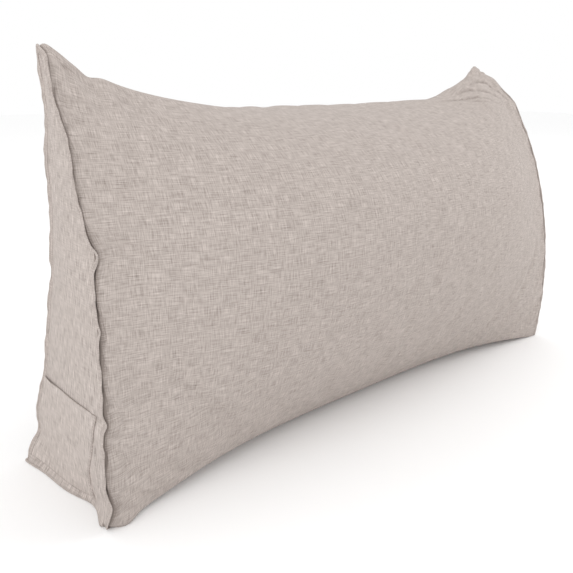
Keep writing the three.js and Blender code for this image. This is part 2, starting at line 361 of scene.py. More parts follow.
        on_front = np.clip((way - base) / front, 0, 1) ** self.front_draw_low
        on_rear = np.clip((way - base - front) / self.rear_length, 0, 1)
        on_base = np.where(way < base, 0.5 + way / (2 * base), (way - self.girth + base) / (2 * base))
        front_draw, rear_draw = end.front_draw * shape(on_front), end.rear_draw * shape(on_rear)
        draw = np.where(way < base + front, front_draw, rear_draw)
        is_base = (way < base) | (way >= self.girth - base)
        return np.where(is_base, end.base_draw * shape(np.clip(on_base, 0, 1)), draw)

    def smooth(self, station: np.ndarray, way: np.ndarray) -> np.ndarray:
        """Places points of the wrap before its local pushes.

        Args:
            station: Along the pillow, -1 at the left seam to 1 at the right one.
            way: Distance round the girth from the middle of the base, up the front.

        Returns:
            Their places, one a row.
        """
        station, way = np.broadcast_arrays(np.asarray(station, float), np.asarray(way, float))
        out = np.abs(station)
        way = np.mod(way, self.girth)
        share = way / self.girth
        fade = ((1 - np.minimum(out, 1) ** self.fade_power) ** self.fade_softness)[..., None]
        middle = self._at(self.middle_loop, share)
        from_ridge = np.abs(way - self.base_half - self.front_length)
        power = self.crown_dip_power
        peak = power / (power + 1)
        dip = out**power * (1 - out) / (peak**power * (1 - peak))
        dip = dip * bell(from_ridge / self.crown_dip_reach)
        placed = np.zeros((*station.shape, 3))
        for end in (LEFT_END, RIGHT_END):
            here = (station < 0) == (end.side < 0)
            section = self._at(self.end_loops[end.side], share) * (1 - fade) + middle * fade
            x = end.side * (out * self.half_length - self._draw(end, way) * out**self.draw_power)
            point = np.concatenate([x[..., None], section], axis=-1)
            point[..., 2] -= end.crown_dip * dip
            from_ear = np.hypot(self.half_length - np.abs(x), from_ridge) / end.ear_reach
            point += bell(from_ear)[..., None] * np.array(end.ear_lean)
            placed[here] = point[here]
        return placed

    def nudge(self, station: np.ndarray, way: np.ndarray) -> np.ndarray:
        """Sums the local pushes at points of the wrap.

        Args:
            station: Along the pillow, as for smooth.
            way: Distance round the girth.

        Returns:
            The shifts, one a row.
        """
        station, way = np.broadcast_arrays(np.asarray(station, float), np.asarray(way, float))
        total = np.zeros((*station.shape, 3))
        for nudge in NUDGES:
            along = (station * self.half_length * MM_PER_M - nudge.along) / nudge.reach_along
            off = (way - nudge.round / MM_PER_M) / self.girth
            off = (off - np.rint(off)) * self.girth * MM_PER_M / nudge.reach_round
            total += np.exp(-(along**2) - off**2)[..., None] * np.array(nudge.shift) / MM_PER_M
        return total

    def wrap(self, station: np.ndarray, way: np.ndarray) -> np.ndarray:
        """Places points of the wrap where they end up."""
        return self.smooth(station, way) + self.nudge(station, way) + np.array(self.place)

    def strip(self, station: np.ndarray) -> np.ndarray:
        """Half the width of the crown strip at a station."""
        return self.strip_middle + (self.strip_end - self.strip_middle) * np.abs(station) ** 2

    def way(self, face: Face, station: np.ndarray, up: np.ndarray, across: np.ndarray) -> np.ndarray:
        """Finds points of the wrap's faces round the girth.

        Args:
            face: The face.
            station: Along the pillow, as for smooth.
            up: Shares of the pillow's height, which place them on the front and the back.
            across: Shares of its depth, which place them on the crown and the base.

        Returns:
            Their distances round the girth.
        """
        foot, ridge = self.base_half, self.base_half + self.front_length
        if face is Face.FRONT:
            return foot + up * (self.front_length - self.strip(station))
        if face is Face.CROWN:
            return ridge + (2 * across - 1) * self.strip(station)
        if face is Face.BACK:
            return self.girth - foot - up * (self.rear_length - self.strip(station))
        return foot * (1 - 2 * across)

    def _stretched(
        self,
        side: int,
        up: np.ndarray,
        across: np.ndarray,
        value_at: Callable[[np.ndarray, np.ndarray], np.ndarray],
        powers: Pair,
    ) -> np.ndarray:
        """Stretches what value_at gives on an end's four seams over its panel.

        Args:
            side: The end's side.
            up: Shares of the panel's height.
            across: Shares of its width, from the front seam.
            value_at: Gives values at stations and distances round the girth.
            powers: How fast a seam's values fade across and up; 1 is evenly to the far side.

        Returns:
            The values, one a row.
        """
        s = np.full(up.shape, float(side))
        zero, one = np.zeros(up.shape), np.ones(up.shape)
        front, rear = (1 - across) ** powers[0], across ** powers[0]

        def between(height: np.ndarray) -> np.ndarray:
            """Blends the front and rear seams.

            Args:
                height: Shares of the panel's height.

            Returns:
                Their part of the values, one a row.
            """
            ahead = value_at(s, self.way(Face.FRONT, s, height, zero))
            behind = value_at(s, self.way(Face.BACK, s, height, one))
            return ahead * front[..., None] + behind * rear[..., None]

        foot = value_at(s, self.way(Face.BASE, s, zero, across)) - between(zero)
        ear = value_at(s, self.way(Face.CROWN, s, one, across)) - between(one)
        low, high = ((1 - up) ** powers[1])[..., None], (up ** powers[1])[..., None]
        return between(up) + low * foot + high * ear

    def panel(self, side: int, up: np.ndarray, across: np.ndarray) -> np.ndarray:
        """Places points of an end panel, stretched between its seams and domed by the filling.

        Args:
            side: The end's side.
            up: Shares of the panel's height.
            across: Shares of its width, from the front seam.

        Returns:
            Their places, one a row.
        """
        up, across = np.broadcast_arrays(np.asarray(up, float), np.asarray(across, float))
        placed = self._stretched(side, up, across, self.smooth, (1, 1))
        fades = (self.nudge_fade_across, self.nudge_fade_up)
        placed = placed + self._stretched(side, up, across, self.nudge, fades)
        dome = self.dome_peak * up * (1 - up) ** 2 * across * (1 - across)
        placed[..., 0] += side * self.panel_dome * dome
        return placed + np.array(self.place)

    def run_out(self, side: int, up: np.ndarray, across: np.ndarray) -> np.ndarray:
        """Ways in which an end panel runs out over its seam, before the local pushes.

        Args:
            side: The end's side.
            up: Shares of the panel's height at points of the seam.
            across: Shares of its width there.

        Returns:
            The way out at each, one a row.
        """
        inner_up = np.clip(up, self.inset_up, 1 - self.inset_up)
        inner_across = np.clip(across, self.inset_across, 1 - self.inset_across)
        at_seam = self._stretched(side, up, across, self.smooth, (1, 1))
        return at_seam - self._stretched(side, inner_up, inner_across, self.smooth, (1, 1))


# Finishes


class Graph:
    """A small hand for building one material's nodes."""

    def __init__(self, name: str) -> None:
        """Makes a material without nodes.

        Args:
            name: The material's name.
        """
        self.material = bpy.data.materials.new(name)
        self.material.use_nodes = True
        self.tree = self.material.node_tree
        self.tree.nodes.clear()

    def node(
        self, kind: str, inputs: dict[str | int, object] | None = None, **settings: object
    ) -> bpy.types.Node:
        """Adds a node.

        Args:
            kind: Its type.
            inputs: Sockets to link and constants to set, by the input's name or number.
            settings: Its properties by name.

        Returns:
            The node.
        """
        made = self.tree.nodes.new(kind)
        for name, value in settings.items():
            setattr(made, name, value)
        for name, value in (inputs or {}).items():
            if isinstance(value, bpy.types.NodeSocket):
                self.tree.links.new(value, made.inputs[name])
            else:
                made.inputs[name].default_value = value
        return made

    def math(self, operation: str, *values: object) -> bpy.types.NodeSocket:
        """Adds a Math node on numbers or sockets and returns its result."""
        return self.node("ShaderNodeMath", dict(enumerate(values)), operation=operation).outputs[0]

    def total(self, *terms: tuple[bpy.types.NodeSocket, float]) -> bpy.types.NodeSocket:
        """Adds up values, each given with its weight."""
        return reduce(partial(self.math, "ADD"), [self.math("MULTIPLY", *term) for term in terms])

    def noise(
        self, vector: bpy.types.NodeSocket, scale: Triple, detail: float
    ) -> bpy.types.NodeSocket:
        """Adds a noise that is centred on zero.

        Args:
            vector: Where it is read.
            scale: How many of its lumps a metre holds each way.
            detail: How many finer layers it has.

        Returns:
            Its value.
        """
        place = self.node("ShaderNodeVectorMath", {0: vector, 1: scale}, operation="MULTIPLY").outputs[0]
        inputs = {"Vector": place, "Scale": 1.0, "Detail": detail, "Roughness": 0.5}
        made = self.node("ShaderNodeTexNoise", inputs, noise_dimensions="3D")
        return self.math("SUBTRACT", made.outputs["Fac"], 0.5)

    def mix(
        self, dark: tuple[float, ...], light: tuple[float, ...], tone: bpy.types.NodeSocket
    ) -> bpy.types.NodeSocket:
        """Mixes two colours, dark where the tone is 0 or less and light where it is 1 or more."""
        inputs = {"A": (*dark, 1), "B": (*light, 1), "Factor": tone}
        return self.node("ShaderNodeMix", inputs, data_type="RGBA", clamp_factor=True).outputs["Result"]

    def surface(self, inputs: dict[str | int, object]) -> None:
        """Adds the surface shader with its inputs, and the material's output."""
        shader = self.node("ShaderNodeBsdfPrincipled", inputs)
        self.node("ShaderNodeOutputMaterial", {0: shader.outputs[0]})


@dataclass(frozen=True)
class HeatheredLinen:
    """A matte linen-look cloth: dark and light slubs along both threads, a weave and a soft nap.

    Lengths are in metres. Along runs with the pillow or across a panel, and up runs round the girth.
    """

    name: str
    dark: Triple = (0.231, 0.195, 0.175)
    light: Triple = (0.625, 0.556, 0.517)
    level: float = 0.50
    slub_along: float = 1.0
    slub_up: float = 0.75
    slub_length: float = 0.015
    slub_width: float = 0.0012
    slub_up_shortening: float = 1.3
    contrast: float = 0.48
    weave: float = 0.9
    thread: float = 0.0009
    thread_along: float = 1.0
    thread_run: Pair = (20, 16)
    patches_per_metre: Pair = (22, 30)
    patchiness: float = 0.14
    relief: float = 0.5
    relief_depth: float = 0.0007
    slub_relief: float = 0.8
    # painted shade in the left seam's crevice: its strength, the seam's place, its reach and its thinning
    # towards the ear
    painted_seam_shade: float = 0.0
    seam_at: float = 0.434
    seam_reach: float = 0.0034
    shade_top: float = 0.46
    shade_fade: float = 12
    least_shade: float = 0.3
    # painted shade in the folds and painted highlight on the ridges beside them, read from the fold depth
    painted_fold_shade: float = 0.0

    def make(self) -> bpy.types.Material:
        """Builds the material.

        Returns:
            The material, which reads the piece's own pattern coordinates.
        """
        g = Graph(self.name)
        pattern = g.node("ShaderNodeUVMap", uv_map=PATTERN_UV).outputs[0]
        long, wide, fine = 1 / self.slub_length, 1 / self.slub_width, 1 / self.thread
        slubs = g.total(
            (g.noise(pattern, (long, wide, 1), 2.0), self.slub_along),
            (g.noise(pattern, (wide, long * self.slub_up_shortening, 1), 2.0), self.slub_up),
        )
        threads = g.total(
            (g.noise(pattern, (fine / self.thread_run[0], fine, 1), 1.0), self.thread_along),
            (g.noise(pattern, (fine, fine / self.thread_run[1], 1), 1.0), 1.0),
        )
        patches = g.noise(pattern, (*self.patches_per_metre, 1), 3.0)
        tone = g.total((slubs, self.contrast), (threads, self.weave), (patches, self.patchiness))
        tone = g.math("ADD", tone, self.level)
        # painted shade darkens the wrap in the left seam's crevice
        if self.painted_seam_shade:
            tone = g.math("SUBTRACT", tone, self._seam(g, pattern))
        # painted shade in the folds and painted highlight on their ridges
        if self.painted_fold_shade:
            fold = g.node("ShaderNodeAttribute", attribute_name=FOLD).outputs["Fac"]
            tone = g.math("SUBTRACT", tone, g.math("MULTIPLY", fold, self.painted_fold_shade))

        height = g.total((slubs, self.slub_relief), (threads, 1.0))
        bump = {"Strength": self.relief, "Distance": self.relief_depth, "Height": height}
        g.surface({
            "Base Color": g.mix(self.dark, self.light, tone),
            "Normal": g.node("ShaderNodeBump", bump).outputs[0],
            "Roughness": 0.95,
            "Specular IOR Level": 0.12,
            "Sheen Weight": 0.12,
            "Sheen Roughness": 0.55,
            "Sheen Tint": (0.95, 0.90, 0.87, 1),
        })
        return g.material

    def _seam(self, g: Graph, pattern: bpy.types.NodeSocket) -> bpy.types.NodeSocket:
        """Adds the painted shade down in the left end's seam crevice, which thins out towards the ear.

        Args:
            g: The material's graph.
            pattern: The pattern coordinates.

        Returns:
            How much darker the cloth is.
        """
        along, way, _ = g.node("ShaderNodeSeparateXYZ", {0: pattern}).outputs
        away = g.math("ADD", along, self.seam_at)
        near = g.math("EXPONENT", g.math("MULTIPLY", away, -1 / self.seam_reach))
        below = g.math("SUBTRACT", self.shade_top, way)
        low = g.math("MAXIMUM", g.math("MULTIPLY", below, self.shade_fade), self.least_shade)
        near = g.math("MULTIPLY", near, g.math("MINIMUM", low, 1.0))
        return g.math("MULTIPLY", near, self.painted_seam_shade)


# the wrap has painted shade in the left seam's crevice, and painted shade in its folds with painted
# highlight on their ridges
WRAP_LINEN = HeatheredLinen("linen_wrap", painted_seam_shade=1.2, painted_fold_shade=0.3)
# the end panels have painted shade in their folds and painted highlight on the ridges beside them
PANEL_LINEN = HeatheredLinen(
    "linen_end_panel",
    level=0.53,
    slub_along=0.25,
    slub_up=1.2,
    slub_length=0.014,
    slub_width=0.0013,
    contrast=0.75,
    weave=1.5,
    thread_along=0.4,
    painted_fold_shade=0.3,
)
POCKET_LINEN = replace(PANEL_LINEN, name="linen_pocket", level=0.57, painted_fold_shade=0.0)


@dataclass(frozen=True)
class SewingThread:
    """A matte spun thread a little darker than the cloth, with its ply as fine bands."""

    name: str
    dark: Triple = (0.300, 0.255, 0.230)
    light: Triple = (0.480, 0.420, 0.390)
    plies_per_metre: float = 2600
    contrast: float = 1.6

    def make(self) -> bpy.types.Material:
        """Builds the material.

        Returns:
            The material, which reads object coordinates.
        """
        g = Graph(self.name)
        place = g.node("ShaderNodeTexCoord").outputs["Object"]
        ply = g.noise(place, (self.plies_per_metre,) * 3, 1.0)
        tone = g.math("ADD", g.math("MULTIPLY", ply, self.contrast), 0.5)
        g.surface({"Base Color": g.mix(self.dark, self.light, tone), "Roughness": 0.8})
        return g.material


# Mesh helpers


def grid_box(cells: tuple[int, int, int]) -> bmesh.types.BMesh:
    """A box from 0 to 1 each way, cut into cells.

    Args:
        cells: The number of cells along X, Y and Z.

    Returns:
        The box as a bmesh.
    """
    bm = bmesh.new()
    bmesh.ops.create_cube(bm, size=1.0, matrix=Matrix.Translation((0.5, 0.5, 0.5)))
    for axis, count in enumerate(cells):
        if count < 2:
            continue
        run = [e for e in bm.edges if abs(e.verts[0].co[axis] - e.verts[1].co[axis]) > 0.5]
        bmesh.ops.subdivide_edges(bm, edges=run, cuts=count - 1, use_grid_fill=True)
    return bm


def unit(vectors: np.ndarray) -> np.ndarray:
    """Scales vectors, one a row, to a length of one."""
    return vectors / np.maximum(np.linalg.norm(vectors, axis=1), 1e-12)[:, None]


def coordinates(bm: bmesh.types.BMesh) -> np.ndarray:
    """The places of a bmesh's vertices, one a row."""
    return np.array([v.co for v in bm.verts])


def place_vertices(bm: bmesh.types.BMesh, places: np.ndarray) -> None:
    """Moves a bmesh's vertices to new places, one a row."""
    for vert, place in zip(bm.verts, places):
        vert.co = place


def lay_pattern(bm: bmesh.types.BMesh, pattern: np.ndarray) -> None:
    """Gives a bmesh its pattern coordinates.

    Args:
        bm: The mesh.
        pattern: Where each vertex lies on the pattern, one a row.
    """
    uv = bm.loops.layers.uv.new(PATTERN_UV)
    bm.verts.index_update()
    for corner in (loop for poly in bm.faces for loop in poly.loops):
        corner[uv].uv = pattern[corner.vert.index]


def finished(name: str, bm: bmesh.types.BMesh, smooth: bool = True) -> bpy.types.Object:
    """Turns a bmesh into an object of the scene.

    Args:
        name: The object's name.
        bm: Its mesh, which is freed.
        smooth: Whether its faces are shaded smooth.

    Returns:
        The object.
    """
    bm.normal_update()
    mesh = bpy.data.meshes.new(name)
    bm.to_mesh(mesh)
    bm.free()
    if smooth:
        mesh.shade_smooth()
    made = bpy.data.objects.new(name, mesh)
    bpy.context.scene.collection.objects.link(made)
    return made


def baked(made: bpy.types.Object) -> bpy.types.Object:
    """Applies an object's modifiers to its mesh.

    Args:
        made: The object.

    Returns:
        The same object, without modifiers.
    """
    graph = bpy.context.evaluated_depsgraph_get()
    old, shaped = made.data, made.evaluated_get(graph)
    mesh = bpy.data.meshes.new_from_object(shaped, preserve_all_data_layers=True, depsgraph=graph)
    made.modifiers.clear()
    made.data = mesh
    mesh.name = old.name
    bpy.data.meshes.remove(old)
    return made


def read(
    items: bpy.types.bpy_prop_collection, name: str, width: int = 1, kind: type = float
) -> np.ndarray:
    """Reads one property of all a mesh's vertices, edges or corners.

    Args:
        items: The vertices, edges or corners.
        name: The property.
        width: How many numbers it has.
        kind: Their type.

    Returns:
        The values, one row an item.
    """
    values = np.zeros(len(items) * width, dtype=kind)
    items.foreach_get(name, values)
    return values.reshape(-1, width) if width > 1 else values


def vertex_places(made: bpy.types.Object) -> np.ndarray:
    """The places of an object's vertices, one a row."""
    return read(made.data.vertices, "co", 3)


def move_vertices(made: bpy.types.Object, places: np.ndarray) -> None:
    """Moves an object's vertices to new places, one a row."""
    made.data.vertices.foreach_set("co", places.reshape(-1))
    made.data.update()


def stitched(name: str, stitches: list[tuple[np.ndarray, np.ndarray, np.ndarray]]) -> bpy.types.Object:
    """Makes a run of thread stitches as one mesh.

    Args:
        name: The mesh's name.
        stitches: For each, its middle, its direction and a second direction across it.

    Returns:
        The object.
    """
    bm = bmesh.new()
    shape = Matrix.Diagonal((*STITCH_HALF_SIZE, 1))
    for middle, along, across in stitches:
        first = Vector(along).normalized()
        third = first.cross(Vector(across)).normalized()
        turn = Matrix((first, third.cross(first), third)).transposed().to_4x4()
        matrix = Matrix.Translation(Vector(middle)) @ turn @ shape
        bmesh.ops.create_icosphere(bm, subdivisions=1, radius=1.0, matrix=matrix)
    return finished(name, bm)


# Pieces


@dataclass(frozen=True)
class Crease:
    """A fold pressed into the wrap, as a bent line on the cloth."""

    start: Pair
    bend: Pair
    stop: Pair
    depth: float
    width: float
    samples: int = 28
    cut_off: float = 3.2
    ridge: float = 1.4
    end_share: float = 0.02
    taper: float = 0.7

    def line(self) -> np.ndarray:
        """Samples the fold's line.

        Returns:
            Points as (along, round the girth), one a row.
        """
        u = np.linspace(0, 1, self.samples)[:, None]
        a, b, c = (np.array(p) for p in (self.start, self.bend, self.stop))
        return a * (1 - u) ** 2 + 2 * b * u * (1 - u) + c * u**2

    def push(self, cloth: np.ndarray) -> np.ndarray:
        """How far the fold moves points of the cloth inwards.

        Args:
            cloth: Points as (along, round the girth), one a row.

        Returns:
            The depth at each, less than zero on the ridges beside the fold.
        """
        line, reach = self.line(), self.cut_off * self.width
        low, high = line.min(axis=0) - reach, line.max(axis=0) + reach
        near = np.all((cloth > low) & (cloth < high), axis=1)
        apart = np.linalg.norm(cloth[near][:, None] - line[None], axis=2)
        at = apart.argmin(axis=1) / (len(line) - 1) * (1 - 2 * self.end_share) + self.end_share
        off = (apart.min(axis=1) / self.width) ** 2
        out = np.zeros(len(cloth))
        out[near] = self.depth * (1 - self.ridge * off) * np.exp(-off) * np.sin(np.pi * at) ** self.taper
        return out


@dataclass(frozen=True)
class Shoulder:
    """How high the filling pushes the wrap up beside one end's seam, round the girth."""

    side: int
    heights: tuple[Pair, ...]
    steepness: float = 0.0030
    reach: float = 0.034
    lap: float = 0.0008
    lap_at: float = 0.0035

    def push(self, cloth: np.ndarray, form: PillowForm) -> tuple[np.ndarray, np.ndarray]:
        """How far the shoulder moves points of the wrap.

        Args:
            cloth: Points as (along, round the girth), one a row.
            form: The pillow's form.

        Returns:
            The push out of the surface and the push towards the end at each.
        """
        rounds, heights = np.array(self.heights).T
        height = np.interp(cloth[:, 1], rounds, heights)
        away = np.maximum(form.half_length - self.side * cloth[:, 0], 0)
        rise = (1 - np.exp(-away / self.steepness)) * bell(away / self.reach)
        lap = away / self.lap_at * np.exp(1 - away / self.lap_at)
        return height * rise, self.side * self.lap * lap * height / heights.max()


@dataclass
class StuffedCover:
    """The wrap and both end panels over the filling, as one closed cloth body."""

    form: PillowForm
    cells: tuple[int, int, int] = (132, 22, 58)
    crowding: float = 1.5
    row_crowding: float = 0.45
    seam_hold: float = 0.8
    foot_hold: float = 0.8
    skirt: float = 0.0060
    skirt_height: float = 0.0060
    foot_seam_depth: float = 0.0016
    foot_seam_width: float = 0.005
    foot_seam_lift: float = 0.004
    sim_frames: int = 20
    pressure: float = 3.0
    slack: float = 0.03
    evening_steps: int = 30
    wrinkle_limit: float = 0.003
    # the fold depth that gives the full painted fold shade
    fold_shade_depth: float = 0.003
    # the right ear's folds, two faint ones at the left ear and one at its foot, two in the panel
    creases: tuple[Crease, ...] = (
        Crease((0.318, 0.598), (0.378, 0.584), (0.424, 0.528), 0.0034, 0.0040),
        Crease((0.262, 0.600), (0.320, 0.582), (0.392, 0.540), 0.0028, 0.0040),
        Crease((0.200, 0.603), (0.285, 0.584), (0.366, 0.534), 0.0030, 0.0038),
        Crease((0.230, 0.592), (0.275, 0.576), (0.330, 0.546), 0.0020, 0.0036),
        Crease((-0.432, 0.556), (-0.412, 0.561), (-0.380, 0.566), 0.0010, 0.0050),
        Crease((-0.432, 0.529), (-0.415, 0.538), (-0.388, 0.544), 0.0008, 0.0050),
        Crease((-0.432, 0.132), (-0.418, 0.125), (-0.396, 0.114), 0.0010, 0.0050),
        Crease((1.9500, 0.098), (1.9440, 0.055), (1.9490, 0.012), 0.0032, 0.0026),
        Crease((1.9390, 0.076), (1.9350, 0.040), (1.9380, 0.012), 0.0028, 0.0024),
    )
    shoulders: tuple[Shoulder, ...] = (
        Shoulder(-1, (
            (0.092, 0.0), (0.104, 0.0058), (0.135, 0.0075), (0.180, 0.0060), (0.380, 0.0060),
            (0.440, 0.0035), (0.540, 0.0025), (0.595, 0.0025), (0.612, 0.0010),
            (0.622, 0.0015), (0.700, 0.0030), (1.090, 0.0030), (1.112, 0.0),
        )),
        Shoulder(1, (
            (0.092, 0.0), (0.104, 0.0005), (0.560, 0.0005), (0.600, 0.0010), (0.612, 0.0010),
            (0.622, 0.0015), (0.700, 0.0030), (1.090, 0.0030), (1.112, 0.0),
        )),
    )

    def build(self) -> bpy.types.Object:
        """Makes the padded piece.

        Returns:
            The dressed object.
        """
        body = self._cut()
        self._fill(body)
        self._press(body)
        for linen in (WRAP_LINEN, PANEL_LINEN):
            body.data.materials.append(linen.make())
        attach(body, "root")
        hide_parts("wedge_body")
        return body

    def _cut(self) -> bpy.types.Object:
        """Makes the cover's even mesh on the pillow's form, with its pattern coordinates.

        Returns:
            The object, whose held group takes in the taut end panels and the base.
        """
        form = self.form
        bm = grid_box(self.cells)
        grid = coordinates(bm)
        even = 2 * grid[:, 0] - 1
        station = np.sign(even) * (1 - (1 - np.minimum(np.abs(even), 1)) ** self.crowding)
        across, level = grid[:, 1], grid[:, 2]
        up = level - self.row_crowding * np.sin(2 * np.pi * level) / (2 * np.pi)
        places = np.zeros_like(grid)
        ends = np.isclose(np.abs(station), 1)
        on_face = {
            Face.FRONT: np.isclose(across, 0),
            Face.BACK: np.isclose(across, 1),
            Face.CROWN: np.isclose(up, 1),
            Face.BASE: np.isclose(up, 0),
        }
        for face, mask in on_face.items():
            way = form.way(face, station[mask], up[mask], across[mask])
            places[mask] = form.wrap(station[mask], way)
        on_wrap = np.any(list(on_face.values()), axis=0)
        for side in (-1, 1):
            mask = ends & (np.sign(station) == side) & ~on_wrap
            places[mask] = form.panel(side, up[mask], across[mask])

        uv = bm.loops.layers.uv.new(PATTERN_UV)
        hold = bm.edges.layers.float.new("crease_edge")
        kind = bm.faces.layers.int.new("face_kind")
        bm.verts.index_update()
        for poly in bm.faces:
            face = self._face_at(poly.calc_center_median())
            poly[kind] = face.value
            poly.material_index = 1 if face is Face.PANEL else 0
            for loop in poly.loops:
                i = loop.vert.index
                if face is Face.PANEL:
                    loop[uv].uv = (places[i, 1] + PANEL_PATTERN[int(station[i])], places[i, 2])
                else:
                    way = form.way(face, station[i : i + 1], up[i : i + 1], across[i : i + 1])[0]
                    loop[uv].uv = (station[i] * form.half_length, way)
        for edge in bm.edges:
            kinds = {poly[kind] for poly in edge.link_faces}
            if len(kinds) == 2 and Face.PANEL.value in kinds:
                edge[hold] = self.seam_hold
            elif len(kinds) == 2 and Face.BASE.value in kinds:
                edge[hold] = self.foot_hold
        place_vertices(bm, places)
        body = finished("wedge_cover", bm)
        held = ends | on_face[Face.BASE]
        body.vertex_groups.new(name="held").add(np.flatnonzero(held).tolist(), 1.0, "REPLACE")
        return body

    @staticmethod
    def _face_at(middle: Vector) -> Face:
        """Names the face of the cover that a face of the unit box stands for.

        Args:
            middle: The middle of the box's face.

        Returns:
            The cover's face.
        """
        if min(middle.x, 1 - middle.x) < 1e-5:
            return Face.PANEL
        if middle.y < 1e-5:
            return Face.FRONT
        if middle.y > 1 - 1e-5:
            return Face.BACK
        return Face.CROWN if middle.z > 0.5 else Face.BASE

    def _fill(self, body: bpy.types.Object) -> None:
        """Lets the filling push the cover's slack into soft wrinkles, then smooths the cover.

        Args:
            body: The cover.
        """
        rest = vertex_places(body)
        moved = self._stuffed(body) - rest
        wrinkles = moved - self._evened(body, moved)
        size = np.maximum(np.linalg.norm(wrinkles, axis=1), 1e-9)[:, None]
        wrinkles *= np.tanh(size / self.wrinkle_limit) * self.wrinkle_limit / size
        wrinkles[[len(vert.groups) > 0 for vert in body.data.vertices]] = 0
        LOG.info("wrinkles up to %.1f mm", MM_PER_M * np.linalg.norm(wrinkles, axis=1).max())
        move_vertices(body, rest + wrinkles)
        body.vertex_groups.clear()
        smooth = body.modifiers.new("smooth", "SUBSURF")
        smooth.levels = smooth.render_levels = 1
        baked(body)

    def _stuffed(self, body: bpy.types.Object) -> np.ndarray:
        """Runs the cloth under the filling's pressure and gives its vertices' places.

        Args:
            body: The cover, which is left as it was.

        Returns:
            The places after the last frame, one a row.
        """
        bag = body.copy()
        bag.data = body.data.copy()
        bpy.context.scene.collection.objects.link(bag)
        cloth = bag.modifiers.new("cloth", "CLOTH")
        settings = cloth.settings
        settings.quality = 6
        settings.mass = 0.3
        settings.tension_stiffness = settings.compression_stiffness = 12
        settings.shear_stiffness = 6
        settings.bending_stiffness = 0.4
        settings.air_damping = 2
        settings.use_pressure = True
        settings.uniform_pressure_force = self.pressure
        settings.shrink_min = -self.slack
        settings.vertex_group_mass = "held"
        settings.effector_weights.gravity = 0
        cloth.collision_settings.use_collision = False
        cloth.point_cache.frame_start, cloth.point_cache.frame_end = 1, self.sim_frames
        scene = bpy.context.scene
        for step in range(1, self.sim_frames + 1):
            scene.frame_set(step)
        places = vertex_places(bag.evaluated_get(bpy.context.evaluated_depsgraph_get()))
        stuffed = bag.data
        bpy.data.objects.remove(bag)
        bpy.data.meshes.remove(stuffed)
        scene.frame_set(1)
        return places

    def _evened(self, body: bpy.types.Object, moved: np.ndarray) -> np.ndarray:
        """Spreads movements over their neighbours, which leaves the swelling without its wrinkles.

        Args:
            body: The cover.
            moved: The movement of each vertex, one a row.

        Returns:
            The evened movements.
        """
        first, second = read(body.data.edges, "vertices", 2, np.int32).T
        count = np.bincount(np.concatenate([first, second]), minlength=len(moved))[:, None]
        evened = moved.copy()
        for _ in range(self.evening_steps):
            total = np.zeros_like(evened)
            np.add.at(total, first, evened[second])
            np.add.at(total, second, evened[first])
            evened = 0.5 * evened + 0.5 * total / count
        return evened

    @staticmethod
    def _on_cloth(mesh: bpy.types.Mesh) -> np.ndarray:
        """Finds each vertex on the pattern; one that the wrap shares with a panel counts as the wrap's.

        Args:
            mesh: The cover's mesh.

        Returns:
            The places on the pattern, one a row.
        """
        corners = read(mesh.uv_layers[PATTERN_UV].data, "uv", 2)
        verts = read(mesh.loops, "vertex_index", kind=np.int32)
        cloth = np.zeros((len(mesh.vertices), 2))
        for of_face in (corners[:, 0] >= 1, corners[:, 0] < 1):
            cloth[verts[of_face]] = corners[of_face]
        return cloth

    def _press(self, body: bpy.types.Object) -> None:
        """Raises the shoulders beside the seams, presses in the folds and the foot seams, and stores the
        folds' depth for the linen's painted fold shade.

        Args:
            body: The cover.
        """
        mesh, girth = body.data, self.form.girth
        places, normals = vertex_places(body), read(mesh.vertices, "normal", 3)
        cloth = self._on_cloth(mesh)
        wrap = cloth[:, 0] < 1
        push = sum(crease.push(cloth) for crease in self.creases)
        # stores the fold depth, below zero on the ridges, for the linen's painted shade and highlight
        shade = mesh.attributes.new(FOLD, "FLOAT", "POINT")
        shade.data.foreach_set("value", push / self.fold_shade_depth)
        cloth[:, 1] = np.mod(cloth[:, 1], girth)
        lifted = np.clip(places[:, 2] / self.foot_seam_lift, 0, 1)
        for foot in (self.form.base_half, girth - self.form.base_half):
            off = (cloth[:, 1] - foot) / self.foot_seam_width
            push += self.foot_seam_depth * bell(off) * wrap * lifted
        places -= normals * push[:, None]
        for shoulder in self.shoulders:
            rise, lap = shoulder.push(cloth, self.form)
            here = wrap & (np.sign(cloth[:, 0]) == shoulder.side)
            places[here] += normals[here] * rise[here, None]
            places[here, 0] += lap[here]
        skirt = self.skirt * bell(places[:, 2] / self.skirt_height) * ~wrap
        places[:, 0] += np.sign(places[:, 0]) * skirt
        places[:, 2] = np.maximum(places[:, 2], 0)
        move_vertices(body, places)


@dataclass(frozen=True)
class SeamRun:
    """Stations round an end panel's seam, with the flange's directions at each."""

    point: np.ndarray
    outward: np.ndarray
    sideways: np.ndarray
    along: np.ndarray
    length: np.ndarray


